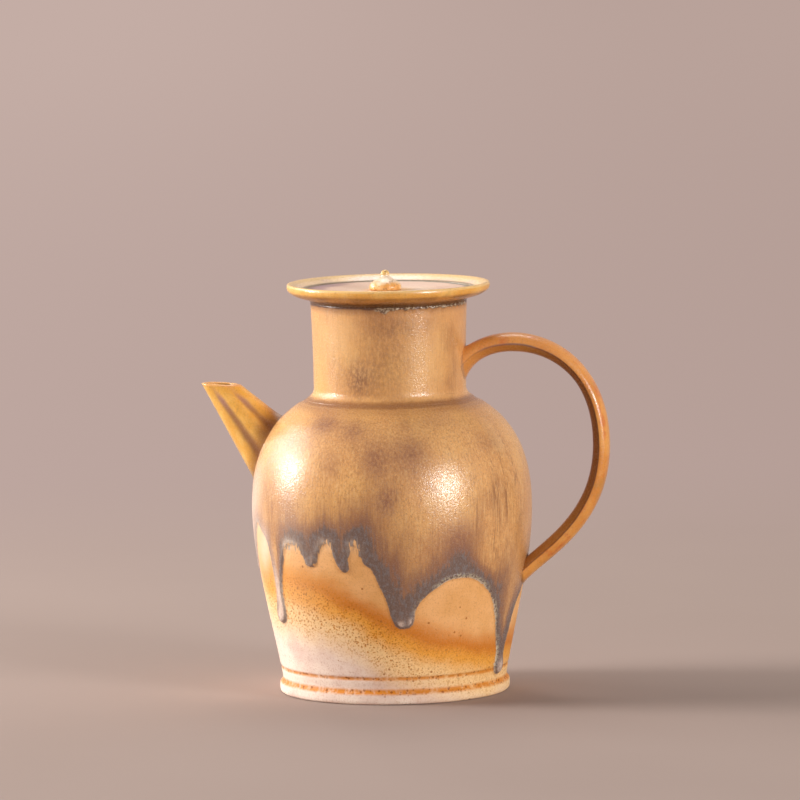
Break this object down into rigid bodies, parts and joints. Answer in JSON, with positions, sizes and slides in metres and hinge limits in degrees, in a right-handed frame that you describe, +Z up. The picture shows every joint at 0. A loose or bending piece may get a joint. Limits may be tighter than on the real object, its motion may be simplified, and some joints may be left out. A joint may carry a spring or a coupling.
{
  "type": "ceramic kettle",
  "caption": "Glazed stoneware pouring kettle with a round belly, short conical spout, loop handle, flared dish mouth and a drop-in lid with a button knob.",
  "frame": {"origin": "centre of the flat base, on the vessel's axis", "axes": "+Z up along the vessel's axis, -X towards the spout, +X towards the handle"},
  "size_m": [0.1801, 0.1228, 0.1847],
  "materials": {
    "body_glaze": "ochre and grey-green glaze in runs over flashed clay",
    "neck_glaze": "glossy olive to ochre glaze",
    "spout_glaze": "glossy yellow-ochre glaze",
    "handle_glaze": "glossy orange-tan glaze",
    "lid_glaze": "glossy grey-brown pooled glaze",
    "bare_clay": "unglazed stoneware"
  },
  "bodies": {
    "vessel": {"body": "body_glaze", "neck": "neck_glaze", "mouth_dish": "neck_glaze", "spout": "spout_glaze", "handle": "handle_glaze"},
    "lid": {"lid_disc": "lid_glaze", "lid_collar": "bare_clay", "lid_knob": "lid_glaze"}
  },
  "joints": [
    {"name": "lid_lift", "type": "slide", "parent": "vessel", "child": "lid", "axis": [0, 0, 1], "range_m": [0, 0.04]}
  ]
}
